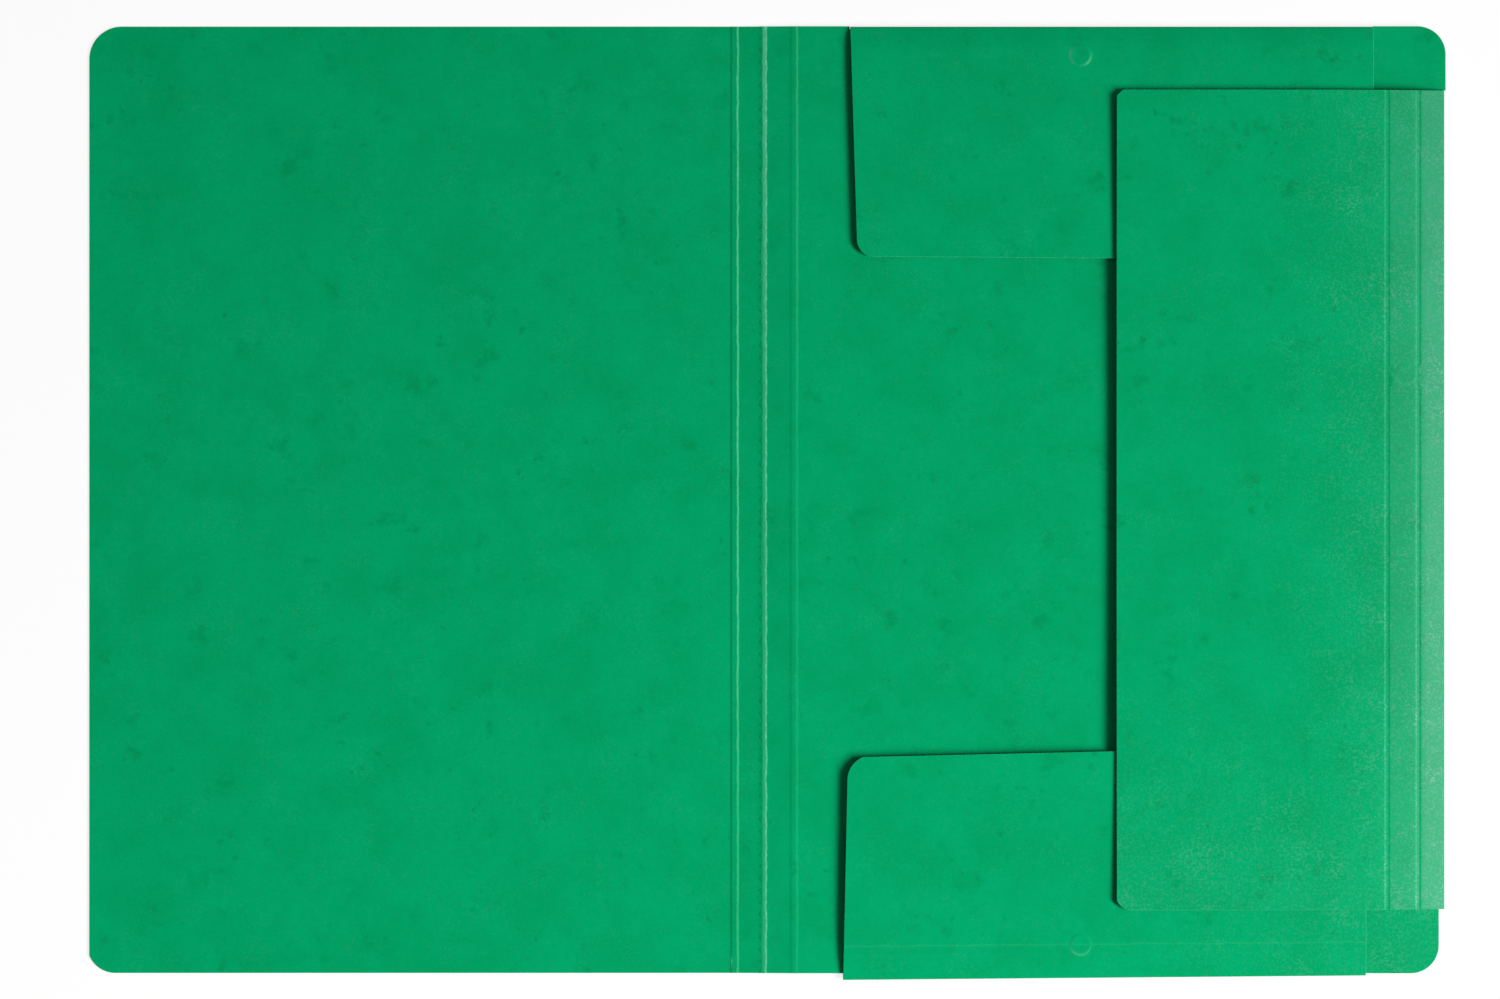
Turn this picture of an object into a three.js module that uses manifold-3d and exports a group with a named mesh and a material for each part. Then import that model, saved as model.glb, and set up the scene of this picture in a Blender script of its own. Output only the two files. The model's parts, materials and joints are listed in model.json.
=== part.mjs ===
// Three-flap folder of creased pressboard with two corner elastics, lying open with its inner side up.
// +X points to the fore-edge of the back cover, +Y to the head of the folder and +Z up from the table.
import * as THREE from 'three';
import { mergeVertices } from 'three/addons/utils/BufferGeometryUtils.js';
import Module from 'manifold-3d';

const wasm = await Module();
wasm.setup();

// The board and its creases
const boardThickness = 0.5;
const creaseWidth = 2;
const creaseRise = 0.25;
const foldRadius = 0.5;
const hingeGap = 0.3;
const creaseStationShares = [-1, -0.7, -0.4, 0, 0.4, 0.7, 1];
const springingStationShares = [0.15, 0.35, 0.7, 1.2, 2, 3.5];
const closestStations = 0.1;
const foldSteps = 8;
const bowSteps = 12;

// The two covers and the spine between them
const folderHeight = 320;
const frontWidth = 218.2;
const spineWidth = 20.1;
const middleCreaseShift = -0.4;
const backWidth = 219.7;
const backProudAtHead = 0.5;
const backShortAtTail = 1.8;
const cornerRadius = 9.5;
const frontHeadRadius = 11;
const frontTailTrim = 0.7;

// The flap at the head: its distance from the spine and from the fore-edge fold, its depth, and how
// far it springs up
const headFlap = {
  side: 1,
  fromSpine: 18.95,
  fromForeEdge: 24.15,
  depthAtStart: 77.6,
  depthAtEnd: 79,
  taper: 2.4,
  turn: 0,
  overhang: -0.2,
  creaseAt: 10.5,
  level: 2.4,
  reach: 2.9,
  cornerRadius: 6,
  cornerTrim: 0.2,
};

// The flap at the tail, folded slightly out of square
const tailFlap = {
  side: -1,
  fromSpine: 16.55,
  fromForeEdge: 26.55,
  depthAtStart: 75.2,
  depthAtEnd: 77.9,
  taper: 2.2,
  turn: THREE.MathUtils.degToRad(0.49),
  overhang: 1.45,
  creaseAt: 11,
  level: 3,
  reach: 9,
  cornerRadius: 8.5,
  cornerTrim: 0.7,
};

// The flap at the fore-edge, which lies over the other two and sags between them
const sideFlap = {
  endInset: 21.8,
  depth: 111,
  creases: [9.2, 19.8],
  level: 3.5,
  endLift: 1.4,
  reach: 7,
  headChamfer: 2,
  tailRadius: 5.75,
  tailTrim: 0.7,
};

// The corner elastics and the eyelets that rivet them to the back cover
const bandWidth = 8;
const bandThickness = 0.8;
const bandPastEyelet = 5;
const edgeEyeletFromSpine = 96.7;
const edgeEyeletFromEdge = 10;
const sideEyeletFromFold = 13.4;
const sideEyeletFromMiddle = 42.3;
const eyeletBore = 1.5;
const eyeletBarrel = 1.9;
const eyeletFlange = 3.55;
const eyeletFlangeHeight = 0.3;
const eyeletRim = 3.2;
const eyeletRimHeight = 0.4;
const eyeletClearance = 0.3;
const roundSides = 24;
const cornerSegments = 8;
const weldDistance = 1e-4;

// Places worked out from the sizes. The rolled rims and the bands hold the back cover off the table.
const backUnderside = eyeletRimHeight + bandThickness;
const backTop = backUnderside + boardThickness;
const halfHeight = folderHeight / 2;
const backCrease = new THREE.Vector3(spineWidth / 2, 0, backTop + creaseRise);
const spineSlope = Math.asin(backUnderside / spineWidth);
const frontCrease = new THREE.Vector3(
  backCrease.x - spineWidth * Math.cos(spineSlope), 0, boardThickness + creaseRise);
const foldOuter = foldRadius + boardThickness / 2;
const foreEdge = backCrease.x + backWidth;
const sideFlapLength = folderHeight - 2 * sideFlap.endInset;
const sideFold = new THREE.Vector3(
  foreEdge - foldOuter, 0, backUnderside + boardThickness / 2 + foldRadius);

const materials = {
  board: new THREE.MeshStandardMaterial({ color: 0x009d63, roughness: 0.62, metalness: 0 }),
  elastic: new THREE.MeshStandardMaterial({ color: 0x0c7a4c, roughness: 0.85, metalness: 0 }),
  nickel: new THREE.MeshStandardMaterial({ color: 0xb9bcbe, roughness: 0.3, metalness: 1 }),
};

const folder = new THREE.Group();

// A closed solid from a three.js geometry, for joining and cutting
function solid(geometry) {
  const bare = geometry.clone();
  bare.deleteAttribute('normal');
  bare.deleteAttribute('uv');
  const merged = mergeVertices(bare, weldDistance);
  return new wasm.Manifold(new wasm.Mesh({
    numProp: 3,
    vertProperties: new Float32Array(merged.attributes.position.array),
    triVerts: new Uint32Array(merged.index.array),
  }));
}

// A named piece of the folder from a solid
function addPiece(name, made, material) {
  const { vertProperties, triVerts } = made.getMesh();
  const geometry = new THREE.BufferGeometry();
  geometry.setAttribute('position', new THREE.BufferAttribute(vertProperties, 3));
  geometry.setIndex(new THREE.BufferAttribute(triVerts, 1));
  geometry.computeVertexNormals();
  const piece = new THREE.Mesh(geometry, material);
  piece.name = name;
  folder.add(piece);
  return piece;
}

// A flat outline in X and Y, extruded upwards from a base level
function upright(outline, base, height) {
  const geometry = new THREE.ExtrudeGeometry(outline, {
    depth: height, bevelEnabled: false, curveSegments: cornerSegments,
  });
  return solid(geometry.translate(0, 0, base));
}

// A section in X and Z, extruded along Y over the whole height of the folder
function alongHeight(section) {
  const geometry = new THREE.ExtrudeGeometry(new THREE.Shape(section), {
    depth: folderHeight, bevelEnabled: false,
  });
  return solid(geometry.rotateX(Math.PI / 2).translate(0, halfHeight, 0));
}

// A section in Y and Z, extruded along X
function alongEdge(section, start, width) {
  const geometry = new THREE.ExtrudeGeometry(new THREE.Shape(section), {
    depth: width, bevelEnabled: false,
  });
  const alongX = new THREE.Matrix4().makeBasis(
    new THREE.Vector3(0, 1, 0), new THREE.Vector3(0, 0, 1), new THREE.Vector3(1, 0, 0));
  return solid(geometry.applyMatrix4(alongX).translate(start, 0, 0));
}

// A straight-sided outline whose corners may be rounded. A trimmed corner was punched round first
// and then cut along its second edge, so its arc meets that edge at a slight angle.
function outlineOf(corners) {
  const outline = new THREE.Shape();
  corners.forEach((corner, i) => {
    const at = new THREE.Vector2(corner.x, corner.y);
    if (!corner.radius) {
      outline[i === 0 ? 'moveTo' : 'lineTo'](at.x, at.y);
      return;
    }
    const before = corners.at(i - 1);
    const after = corners[(i + 1) % corners.length];
    const back = new THREE.Vector2(before.x, before.y).sub(at).normalize();
    const ahead = new THREE.Vector2(after.x, after.y).sub(at).normalize();
    const [first, second] = corner.trimAhead ? [back, ahead] : [ahead, back];
    const { radius, trim = 0 } = corner;
    const reach = radius - trim;
    const centre = at.clone().addScaledVector(first, reach).addScaledVector(second, radius);
    const meet = radius - Math.sqrt(radius ** 2 - reach ** 2);
    const tangentPoint = at.clone().addScaledVector(first, reach);
    const crossing = at.clone().addScaledVector(second, meet);
    const [from, to] = corner.trimAhead ? [tangentPoint, crossing] : [crossing, tangentPoint];
    const startAngle = Math.atan2(from.y - centre.y, from.x - centre.x);
    const endAngle = Math.atan2(to.y - centre.y, to.x - centre.x);
    const clockwise = back.x * ahead.y - back.y * ahead.x > 0;
    outline[i === 0 ? 'moveTo' : 'lineTo'](from.x, from.y);
    outline.absarc(centre.x, centre.y, radius, startAngle, endAngle, clockwise);
  });
  return outline;
}

// How far a pressed crease stands out of the board, at a distance from its middle
function beadAt(distance) {
  const inside = Math.abs(distance) < creaseWidth / 2;
  return inside ? creaseRise * (1 + Math.cos(2 * Math.PI * distance / creaseWidth)) / 2 : 0;
}

// The stations across one crease that its round bead needs
function creaseStations(middle) {
  return creaseStationShares.map((share) => middle + share * creaseWidth / 2);
}

// The section of a board whose middle follows a line of points, from its upper face round to its lower
function boardSection(line) {
  const upper = [];
  const lower = [];
  line.forEach((point, i) => {
    const before = line[Math.max(i - 1, 0)];
    const after = line[Math.min(i + 1, line.length - 1)];
    const into = point.clone().sub(before).normalize();
    const onward = after.clone().sub(point).normalize();
    if (i === 0) into.copy(onward);
    if (i === line.length - 1) onward.copy(into);
    const bisector = into.clone().add(onward).normalize();
    const reach = boardThickness / 2 / bisector.dot(into);
    const normal = new THREE.Vector2(-bisector.y, bisector.x).multiplyScalar(reach);
    upper.push(point.clone().add(normal));
    lower.unshift(point.clone().sub(normal));
  });
  return [...upper, ...lower];
}

// A flat board with beads on its upper face, between two ends, its middle plane at a given level
function beadedSection(from, to, creases, level) {
  const stations = [from, to, ...creases.flatMap(creaseStations)]
    .filter((x) => x >= from && x <= to)
    .sort((a, b) => a - b);
  const line = stations.map((x) => {
    const rise = creases.reduce((sum, crease) => sum + beadAt(x - crease), 0);
    return new THREE.Vector2(x, level + rise);
  });
  return boardSection(line);
}

// The round of a fold, from the board below to the flap above, as distances in from the fold
function foldRound() {
  return Array.from({ length: foldSteps + 1 }, (_, i) => {
    const angle = -Math.PI / 2 + Math.PI * i / foldSteps;
    return new THREE.Vector2(
      foldOuter - foldRadius * Math.cos(angle), sideFold.z + foldRadius * Math.sin(angle));
  });
}

// The middle line of a folded-in flap, which springs up from its fold and levels out. Its creases
// are pressed from the outer face, so on a flap folded in they show as grooves on top.
function flapLine(depth, creases, level, reach) {
  const foldTop = 2 * foldRadius;
  const springing = springingStationShares.map((share) => foldOuter + share * reach);
  const stations = [...springing, depth, ...creases.flatMap(creaseStations)]
    .filter((u) => u > foldOuter && u <= depth)
    .sort((a, b) => a - b)
    .filter((u, i, all) => i === 0 || u - all[i - 1] > closestStations);
  return stations.map((u) => {
    const sprung = foldTop + (level - foldTop) * (1 - Math.exp(-(u - foldOuter) / reach));
    const groove = creases.reduce((sum, crease) => sum + beadAt(u - crease), 0);
    return new THREE.Vector2(u, backTop + sprung - boardThickness / 2 - groove);
  });
}

// A solid lofted through sections that all have the same number of points
function loft(sections) {
  const count = sections[0].length;
  const points = sections.flat();
  const faces = [];
  for (let s = 0; s < sections.length - 1; s += 1) {
    for (let i = 0; i < count; i += 1) {
      const j = (i + 1) % count;
      const [a, b, c, d] = [s * count + i, s * count + j, (s + 1) * count + j, (s + 1) * count + i];
      faces.push(a, b, c, a, c, d);
    }
  }
  const flat = sections[0].map((point) => new THREE.Vector2(point.x, point.z));
  const last = (sections.length - 1) * count;
  THREE.ShapeUtils.triangulateShape(flat, []).forEach(([a, b, c]) => {
    faces.push(a, c, b, last + a, last + b, last + c);
  });
  const geometry = new THREE.BufferGeometry().setFromPoints(points).setIndex(faces);
  return solid(geometry);
}

// One of the two end flaps, with the fold and the strip of board that carry it
function endFlap(flap) {
  const edge = halfHeight + flap.overhang;
  const start = backCrease.x + flap.fromSpine;
  const end = foreEdge - flap.fromForeEdge;
  const deepest = Math.max(flap.depthAtStart, flap.depthAtEnd);
  const line = [
    new THREE.Vector2(flap.creaseAt, backUnderside + boardThickness / 2),
    ...foldRound(),
    ...flapLine(deepest, [flap.creaseAt], flap.level, flap.reach),
  ];
  const section = boardSection(line).map((p) => new THREE.Vector2(flap.side * (edge - p.x), p.y));
  const across = (depth) => flap.side * (edge - depth);
  const freeCorner = { radius: flap.cornerRadius, trim: flap.cornerTrim };
  const outline = outlineOf([
    { x: start, y: across(-foldOuter) },
    { x: end, y: across(-foldOuter) },
    { x: end, y: across(flap.depthAtEnd), ...freeCorner, trimAhead: true },
    { x: start + flap.taper, y: across(flap.depthAtStart), ...freeCorner },
  ]);
  const strip = alongEdge(section, start, end - start);
  return turned(strip.intersect(upright(outline, 0, halfHeight)), flap);
}

// The zone at the edge of the cover that the fold of an end flap takes the place of
function foldZone(flap) {
  const edge = halfHeight + flap.overhang;
  const start = backCrease.x + flap.fromSpine + hingeGap;
  const end = foreEdge - flap.fromForeEdge - hingeGap;
  const near = flap.side * (edge - 2 * foldOuter);
  const far = flap.side * (edge + 4 * foldOuter);
  const zone = new THREE.Shape([
    new THREE.Vector2(start, near),
    new THREE.Vector2(end, near),
    new THREE.Vector2(end, far),
    new THREE.Vector2(start, far),
  ]);
  return turned(upright(zone, 0, halfHeight), flap);
}

// A flap's solid turned about the middle of its fold
function turned(made, flap) {
  const middle = new THREE.Vector3(
    (backCrease.x + flap.fromSpine + foreEdge - flap.fromForeEdge) / 2,
    flap.side * (halfHeight + flap.overhang), 0);
  const matrix = new THREE.Matrix4().makeTranslation(middle)
    .multiply(new THREE.Matrix4().makeRotationZ(flap.turn))
    .multiply(new THREE.Matrix4().makeTranslation(middle.clone().negate()));
  return made.transform(matrix.elements);
}

// Where the eyelets sit, from the spine, the edges and the fold
const edgeEyeletX = backCrease.x + edgeEyeletFromSpine;
const edgeEyeletY = halfHeight - edgeEyeletFromEdge;
const sideEyeletX = foreEdge - sideEyeletFromFold;
const elastics = [
  { name: 'upper', side: 1 },
  { name: 'lower', side: -1 },
].map(({ name, side }) => ({
  name,
  edgeEyelet: new THREE.Vector2(edgeEyeletX, side * edgeEyeletY),
  sideEyelet: new THREE.Vector2(sideEyeletX, side * sideEyeletFromMiddle),
}));
const eyelets = elastics.flatMap(({ edgeEyelet, sideEyelet }) => [edgeEyelet, sideEyelet]);

// A round hole through whatever an eyelet rivets
function eyeletHole(at, top) {
  const radius = eyeletBarrel + eyeletClearance;
  const geometry = new THREE.CylinderGeometry(radius, radius, 2 * top, roundSides);
  return solid(geometry.rotateX(Math.PI / 2).translate(at.x, at.y, 0));
}

// Front cover: a flat board that ends halfway through the bead of its crease
function buildFrontCover() {
  const end = -hingeGap / 2;
  const section = beadedSection(-frontWidth, end, [0], -creaseRise - boardThickness / 2);
  const outline = outlineOf([
    { x: -frontWidth, y: -halfHeight, radius: cornerRadius, trim: frontTailTrim },
    { x: end, y: -halfHeight },
    { x: end, y: halfHeight },
    { x: -frontWidth, y: halfHeight, radius: frontHeadRadius },
  ]);
  const sheet = alongHeight(section);
  const piece = sheet.intersect(upright(outline, -folderHeight / 2, folderHeight));
  addPiece('front_cover', piece, materials.board).position.copy(frontCrease);
}

// Spine: a narrow board with a bead along each side and a worn one down the middle
function buildSpine() {
  const middle = -spineWidth / 2 + middleCreaseShift;
  const section = beadedSection(
    -spineWidth + hingeGap / 2, -hingeGap / 2, [-spineWidth, middle, 0],
    -creaseRise - boardThickness / 2);
  const piece = addPiece('spine', alongHeight(section), materials.board);
  piece.position.copy(backCrease);
  piece.rotation.y = -spineSlope;
}

// Back cover: the board with both end flaps folded in, its holes and its notch for the side flap
function buildBackCover() {
  const start = backCrease.x + hingeGap / 2;
  const headX = foreEdge + backProudAtHead;
  const tailX = foreEdge - backShortAtTail;
  const section = beadedSection(
    start, headX, [backCrease.x], backUnderside + boardThickness / 2);
  const notchX = Math.min(sideFold.x - foldOuter - hingeGap, tailX);
  const notchY = sideFlapLength / 2 + hingeGap;
  const outline = outlineOf([
    { x: start, y: -halfHeight },
    { x: tailX, y: -halfHeight, radius: cornerRadius },
    { x: tailX, y: -notchY },
    { x: notchX, y: -notchY },
    { x: notchX, y: notchY },
    { x: headX, y: notchY },
    { x: headX, y: halfHeight, radius: cornerRadius },
    { x: start, y: halfHeight },
  ]);
  let piece = alongHeight(section).intersect(upright(outline, 0, halfHeight));
  for (const flap of [headFlap, tailFlap]) {
    piece = piece.subtract(foldZone(flap)).add(endFlap(flap));
  }
  for (const at of eyelets) {
    piece = piece.subtract(eyeletHole(at, backTop + creaseRise));
  }
  addPiece('back_cover', piece, materials.board);
}

// Side flap: the round of its fold, two creases, and a free edge that bows up over the end flaps
function buildSideFlap() {
  const half = sideFlapLength / 2;
  const sections = Array.from({ length: bowSteps + 1 }, (_, i) => {
    const y = half - sideFlapLength * i / bowSteps;
    const level = sideFlap.level + sideFlap.endLift * (y / half) ** 2;
    const line = [
      ...foldRound(),
      ...flapLine(sideFlap.depth, sideFlap.creases, level, sideFlap.reach),
    ];
    return boardSection(line).map((p) => new THREE.Vector3(-p.x, y, p.y));
  });
  const outline = outlineOf([
    { x: foldOuter, y: -half },
    { x: foldOuter, y: half },
    { x: -sideFlap.depth + sideFlap.headChamfer, y: half },
    { x: -sideFlap.depth, y: half - sideFlap.headChamfer },
    { x: -sideFlap.depth, y: -half, radius: sideFlap.tailRadius, trim: sideFlap.tailTrim },
  ]);
  const piece = loft(sections).intersect(upright(outline, -folderHeight / 2, folderHeight));
  addPiece('side_flap', piece, materials.board).position.x = foreEdge;
}

// Corner elastic: a flat woven band across the corner, pierced by an eyelet near each end
function buildElastic({ name, edgeEyelet, sideEyelet }) {
  const run = sideEyelet.clone().sub(edgeEyelet);
  const outline = new THREE.Shape();
  const half = bandWidth / 2;
  const length = run.length() + 2 * bandPastEyelet;
  outline.absarc(half - bandPastEyelet, 0, half, Math.PI / 2, Math.PI * 1.5);
  outline.absarc(length - bandPastEyelet - half, 0, half, -Math.PI / 2, Math.PI / 2);
  for (const x of [0, run.length()]) {
    const hole = new THREE.Path();
    hole.absarc(x, 0, eyeletBarrel + eyeletClearance, 0, Math.PI * 2, true);
    outline.holes.push(hole);
  }
  const geometry = new THREE.ExtrudeGeometry(outline, {
    depth: bandThickness, bevelEnabled: false, curveSegments: roundSides / 2,
  });
  const piece = addPiece(`elastic_${name}`, solid(geometry), materials.elastic);
  piece.position.set(edgeEyelet.x, edgeEyelet.y, eyeletRimHeight);
  piece.rotation.z = run.angle();
}

// Eyelet: a nickelled tube with a flat flange on the inner side and a rolled rim on the outer side
function buildEyelet(name, at) {
  const flangeTop = backTop + eyeletFlangeHeight;
  const soften = eyeletFlangeHeight / 3;
  const profile = [
    [eyeletBore, 2 * soften],
    [eyeletBarrel, 0],
    [eyeletRim - 2 * soften, 0],
    [eyeletRim, eyeletRimHeight / 2],
    [eyeletRim - soften, eyeletRimHeight],
    [eyeletBarrel, eyeletRimHeight],
    [eyeletBarrel, backTop],
    [eyeletFlange - soften, backTop],
    [eyeletFlange, backTop + soften],
    [eyeletFlange - 2 * soften, flangeTop],
    [eyeletBarrel + soften, flangeTop],
    [eyeletBore, flangeTop - 2 * soften],
    [eyeletBore, 2 * soften],
  ].map(([radius, height]) => new THREE.Vector2(radius, height));
  const tube = new THREE.LatheGeometry(profile, roundSides).rotateX(Math.PI / 2);
  addPiece(`eyelet_${name}`, solid(tube), materials.nickel).position.set(at.x, at.y, 0);
}

buildBackCover();
buildSideFlap();
buildSpine();
buildFrontCover();
for (const elastic of elastics) {
  buildElastic(elastic);
  buildEyelet(`${elastic.name}_edge`, elastic.edgeEyelet);
  buildEyelet(`${elastic.name}_side`, elastic.sideEyelet);
}

export default folder;
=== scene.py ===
import json
import math
import bpy
import numpy as np
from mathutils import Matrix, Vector
from mathutils.geometry import delaunay_2d_cdt


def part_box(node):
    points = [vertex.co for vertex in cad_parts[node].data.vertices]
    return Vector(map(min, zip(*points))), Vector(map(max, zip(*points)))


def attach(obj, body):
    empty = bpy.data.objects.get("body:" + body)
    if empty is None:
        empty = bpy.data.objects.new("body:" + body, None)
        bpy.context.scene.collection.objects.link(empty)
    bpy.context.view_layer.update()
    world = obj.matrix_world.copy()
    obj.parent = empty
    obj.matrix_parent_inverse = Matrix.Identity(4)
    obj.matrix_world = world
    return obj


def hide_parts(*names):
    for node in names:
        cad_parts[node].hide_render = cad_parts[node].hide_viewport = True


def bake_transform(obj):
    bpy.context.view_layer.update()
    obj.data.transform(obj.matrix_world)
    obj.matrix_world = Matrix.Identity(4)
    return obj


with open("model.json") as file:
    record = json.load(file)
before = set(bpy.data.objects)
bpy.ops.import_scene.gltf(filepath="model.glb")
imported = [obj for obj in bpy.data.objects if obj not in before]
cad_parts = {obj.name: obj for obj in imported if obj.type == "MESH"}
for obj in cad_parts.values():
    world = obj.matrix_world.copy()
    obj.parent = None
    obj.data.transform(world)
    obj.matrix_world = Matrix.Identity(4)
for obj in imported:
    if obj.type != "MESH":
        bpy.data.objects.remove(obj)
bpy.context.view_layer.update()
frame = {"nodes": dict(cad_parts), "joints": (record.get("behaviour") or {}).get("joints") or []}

# Camera: straight above the open folder, far enough off for the covers to look flat.
# A pixel of the 1500 pixel wide picture is a little over a third of a millimetre on the board.
MM = 0.001
scene = bpy.context.scene
picture_width = 1500
folder_height = 320 * MM
pixel = folder_height / 946
camera_height = 1.5
picture_middle = (-4.8 * MM, 0.1 * MM)
sensor_width = 36
lens = bpy.data.cameras.new("overhead")
lens.sensor_width = sensor_width
lens.lens = sensor_width * camera_height / (picture_width * pixel)
overhead = bpy.data.objects.new("overhead", lens)
overhead.location = (*picture_middle, camera_height)
scene.collection.objects.link(overhead)
scene.camera = overhead

# Pressboard: dense, glazed card dyed green through, marbled with darker flecks and soft clouds.
# Its glaze is thin and finely grained, and its cut edges and rubbed creases show a paler green.
# The pale line on each crease's lit flank is partly a painted highlight, the pale specks are
# partly painted glints, and burnished glaze is tinted greyer in its colour as a painted sheen.
board_green = (0.0, 0.340, 0.127, 1)
fleck_green = (0.0, 0.225, 0.070, 1)
cloud_green = (0.0, 0.300, 0.104, 1)
# Pale green of rubbed creases and pale specks, also used for painted highlight and painted glints.
pale_and_highlight_green = (0.120, 0.500, 0.310, 1)
edge_green = (0.060, 0.450, 0.240, 1)
# Painted sheen: the greyer green that the base colour takes where burnished glaze shines.
burnish_and_sheen_green = (0.050, 0.290, 0.172, 1)
cloud_size, cloud_strength = 24 * MM, 0.9
mottle_size, mottle_strength = 3.2 * MM, 0.40
cluster_size = 34 * MM
broad_fleck_size, broad_fleck_strength = 11 * MM, 0.60
small_fleck_size, small_fleck_strength = 5.6 * MM, 0.80
speck_size, speck_strength = 0.8 * MM, 0.06
patch_size = 16 * MM
swell_size = 3.0 * MM
grain_strength, grain_height = 0.35, 0.03 * MM
speck_onset, most_speck, speck_loss = 5.4, 1.6, 0.5
even_sheen = 0.35
coat_share = 0.34
glaze_roughness = 0.40


def new_group(name, inputs, outputs):
    """A shader node group with its named sockets, and its input and output nodes."""
    group = bpy.data.node_groups.new(name, "ShaderNodeTree")
    for socket, kind, value in inputs:
        made = group.interface.new_socket(socket, in_out="INPUT", socket_type=kind)
        made.default_value = value
    for socket, kind in outputs:
        group.interface.new_socket(socket, in_out="OUTPUT", socket_type=kind)
    return group, group.nodes.new("NodeGroupInput"), group.nodes.new("NodeGroupOutput")


def noise(tree, vector, size, detail=3.0, roughness=0.55, distortion=0.0):
    """Noise with features of about the given size in metres."""
    node = tree.nodes.new("ShaderNodeTexNoise")
    node.inputs["Scale"].default_value = 1 / size
    node.inputs["Detail"].default_value = detail
    node.inputs["Roughness"].default_value = roughness
    node.inputs["Distortion"].default_value = distortion
    tree.links.new(vector, node.inputs["Vector"])
    return node.outputs["Fac"]


def remap(tree, value, low, high, to_low=0.0, to_high=1.0):
    """A value spread from one range over another, and held at its ends."""
    node = tree.nodes.new("ShaderNodeMapRange")
    node.interpolation_type = "SMOOTHSTEP"
    node.inputs["From Min"].default_value = low
    node.inputs["From Max"].default_value = high
    node.inputs["To Min"].default_value = to_low
    node.inputs["To Max"].default_value = to_high
    tree.links.new(value, node.inputs["Value"])
    return node.outputs["Result"]


def reckon(tree, operation, first, second):
    """One step of arithmetic on two values, each a socket or a number."""
    node = tree.nodes.new("ShaderNodeMath")
    node.operation = operation
    for i, value in enumerate((first, second)):
        if isinstance(value, (int, float)):
            node.inputs[i].default_value = value
        else:
            tree.links.new(value, node.inputs[i])
    return node.outputs[0]


def tint(tree, amount, under, over):
    """One colour laid over another by an amount. Each is a socket or a colour."""
    node = tree.nodes.new("ShaderNodeMix")
    node.data_type = "RGBA"
    tree.links.new(amount, node.inputs["Factor"])
    for name, colour in (("A", under), ("B", over)):
        socket = next(s for s in node.inputs if s.name == name and s.type == "RGBA")
        if isinstance(colour, tuple):
            socket.default_value = colour
        else:
            tree.links.new(colour, socket)
    return next(s for s in node.outputs if s.type == "RGBA")


def attribute(tree, name):
    """The node that reads a value kept on the points of a sheet."""
    node = tree.nodes.new("ShaderNodeAttribute")
    node.attribute_name = name
    return node


def marbled_group():
    """Soft clouds, darker flecks in loose clusters and fine mottle over a ground colour, with the
    grain of the glaze and the specks that catch the light. The specks are also tinted pale into
    the colour, partly as pale fibres and partly as painted glints."""
    tree, given, result = new_group(
        "marbling",
        [
            ("Ground", "NodeSocketColor", board_green),
            ("Cloud", "NodeSocketColor", cloud_green),
            ("Fleck", "NodeSocketColor", fleck_green),
            ("Speck", "NodeSocketColor", pale_and_highlight_green),
        ],
        [("Color", "NodeSocketColor"), ("Grain", "NodeSocketFloat"), ("Speck", "NodeSocketFloat")],
    )
    at = attribute(tree, "blank").outputs["Vector"]
    clouds = noise(tree, at, cloud_size, 6.0, 0.68, 0.2)
    clouds = remap(tree, clouds, 0.36, 0.68, 0.0, cloud_strength)
    colour = tint(tree, clouds, given.outputs["Ground"], given.outputs["Cloud"])
    mottle = noise(tree, at, mottle_size, 4.0, 0.65)
    mottle = remap(tree, mottle, 0.35, 0.75, 0.0, mottle_strength)
    colour = tint(tree, mottle, colour, given.outputs["Cloud"])
    clusters = remap(tree, noise(tree, at, cluster_size, 2.0, 0.5), 0.40, 0.62, 0.25, 1.0)
    broad = noise(tree, at, broad_fleck_size, 5.0, 0.62, 0.15)
    broad = remap(tree, broad, 0.555, 0.72, 0.0, broad_fleck_strength)
    small = noise(tree, at, small_fleck_size, 4.0, 0.6, 0.15)
    small = remap(tree, small, 0.60, 0.76, 0.0, small_fleck_strength)
    flecks = reckon(tree, "MULTIPLY", reckon(tree, "MAXIMUM", broad, small), clusters)
    colour = tint(tree, flecks, colour, given.outputs["Fleck"])
    fine = noise(tree, at, speck_size, 3.0, 0.65)
    patches = remap(tree, noise(tree, at, patch_size, 4.0, 0.65), 0.48, 0.66, 0.4, 1.0)
    specks = reckon(tree, "MULTIPLY", remap(tree, fine, 0.46, 0.68), patches)
    # Pale specks in the colour: partly pale fibres, partly painted glints of the glaze.
    pale = reckon(tree, "MULTIPLY", specks, speck_strength)
    colour = tint(tree, pale, colour, given.outputs["Speck"])
    grain = reckon(tree, "ADD", fine, noise(tree, at, swell_size, 3.0, 0.5))
    tree.links.new(colour, result.inputs["Color"])
    tree.links.new(grain, result.inputs["Grain"])
    tree.links.new(specks, result.inputs["Speck"])
    return tree


# Pale lines lie along a crease at these distances from its middle, in millimetres. The first
# lies on the flank that faces the lamp, so it is partly rubbed wear and partly painted highlight.
lit_flank_line = 1.05
second_line = -0.35
haze_middle = 0.55
line_wander = 0.22


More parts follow.
